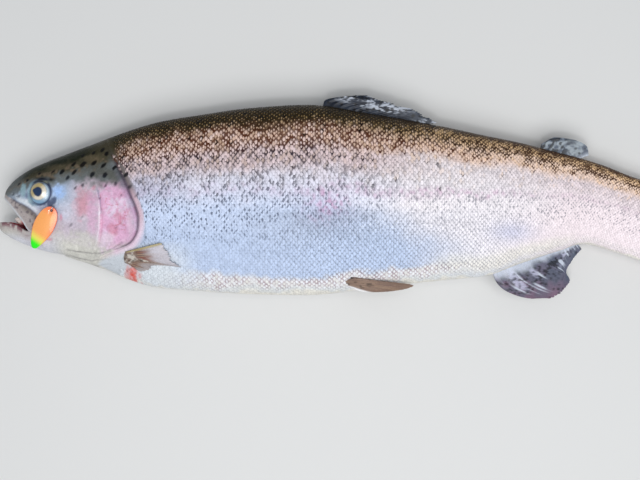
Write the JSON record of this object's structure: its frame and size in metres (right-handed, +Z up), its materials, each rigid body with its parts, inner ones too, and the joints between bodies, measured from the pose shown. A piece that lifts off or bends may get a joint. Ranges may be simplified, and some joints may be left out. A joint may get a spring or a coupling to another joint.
{
  "type": "rainbow trout",
  "caption": "Freshly caught rainbow trout lying on its right side with its mouth ajar, its fins folded and a spoon lure at the corner of the mouth.",
  "frame": {"origin": "middle of the fish's outline, on the floor that its right flank rests on", "axes": "+X from the head to the tail, +Y towards the back, +Z up through the left flank"},
  "size_m": [0.5512, 0.1606, 0.0616],
  "materials": {
    "skin": "wet",
    "head": "wet",
    "fin": "wet",
    "flesh": "wet",
    "eye": "wet",
    "steel": "polished",
    "paint": "gloss"
  },
  "bodies": {
    "root": {"head": "head", "lower_jaw": "head", "gill_cover_left": "head", "gill_cover_right": "head", "tongue": "flesh", "eye_left": "eye", "eye_right": "eye", "trunk_front": "skin", "trunk_rear": "skin", "tail_stalk": "skin", "dorsal_fin": "fin", "adipose_fin": "fin", "anal_fin": "fin", "pelvic_fin_left": "fin", "pelvic_fin_right": "fin", "pectoral_fin_left": "fin", "pectoral_fin_right": "fin", "caudal_fin": "fin", "lure_blade": "paint", "lure_ring": "steel", "lure_hook": "steel"}
  },
  "joints": []
}
